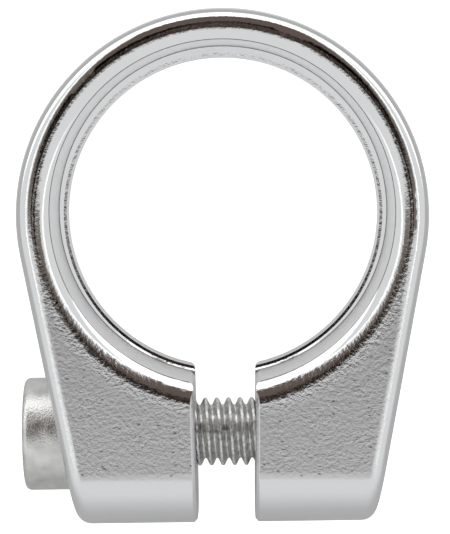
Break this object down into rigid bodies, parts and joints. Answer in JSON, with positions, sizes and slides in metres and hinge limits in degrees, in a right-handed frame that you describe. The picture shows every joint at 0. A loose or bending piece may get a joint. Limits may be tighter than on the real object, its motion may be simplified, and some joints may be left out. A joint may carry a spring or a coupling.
{
  "type": "seatpost clamp",
  "caption": "Split ring clamp with a lipped bore and ears drawn together by a socket head screw, to hold a bicycle's seatpost in its seat tube.",
  "frame": {"origin": "on the bore axis, half way up the clamp, level with the screw's axis", "axes": "+Z along the bore, out of its open mouth; -Y from the bore axis to the ears; the screw's axis runs along X, with its head at -X. The clamp lies on its lip face, and on a bicycle it is turned over, with the lip uppermost."},
  "size_m": [0.0346, 0.0436, 0.014],
  "materials": {
    "chrome_plate": "polished",
    "zinc_plate": "satin"
  },
  "bodies": {
    "body": {"clamp_body": "chrome_plate"},
    "screw": {"clamp_screw": "zinc_plate"}
  },
  "joints": [
    {"name": "screw_turn", "type": "hinge", "parent": "body", "child": "screw", "pos_m": [0, -0.019, 0], "axis": [1, 0, 0], "continuous": true}
  ]
}
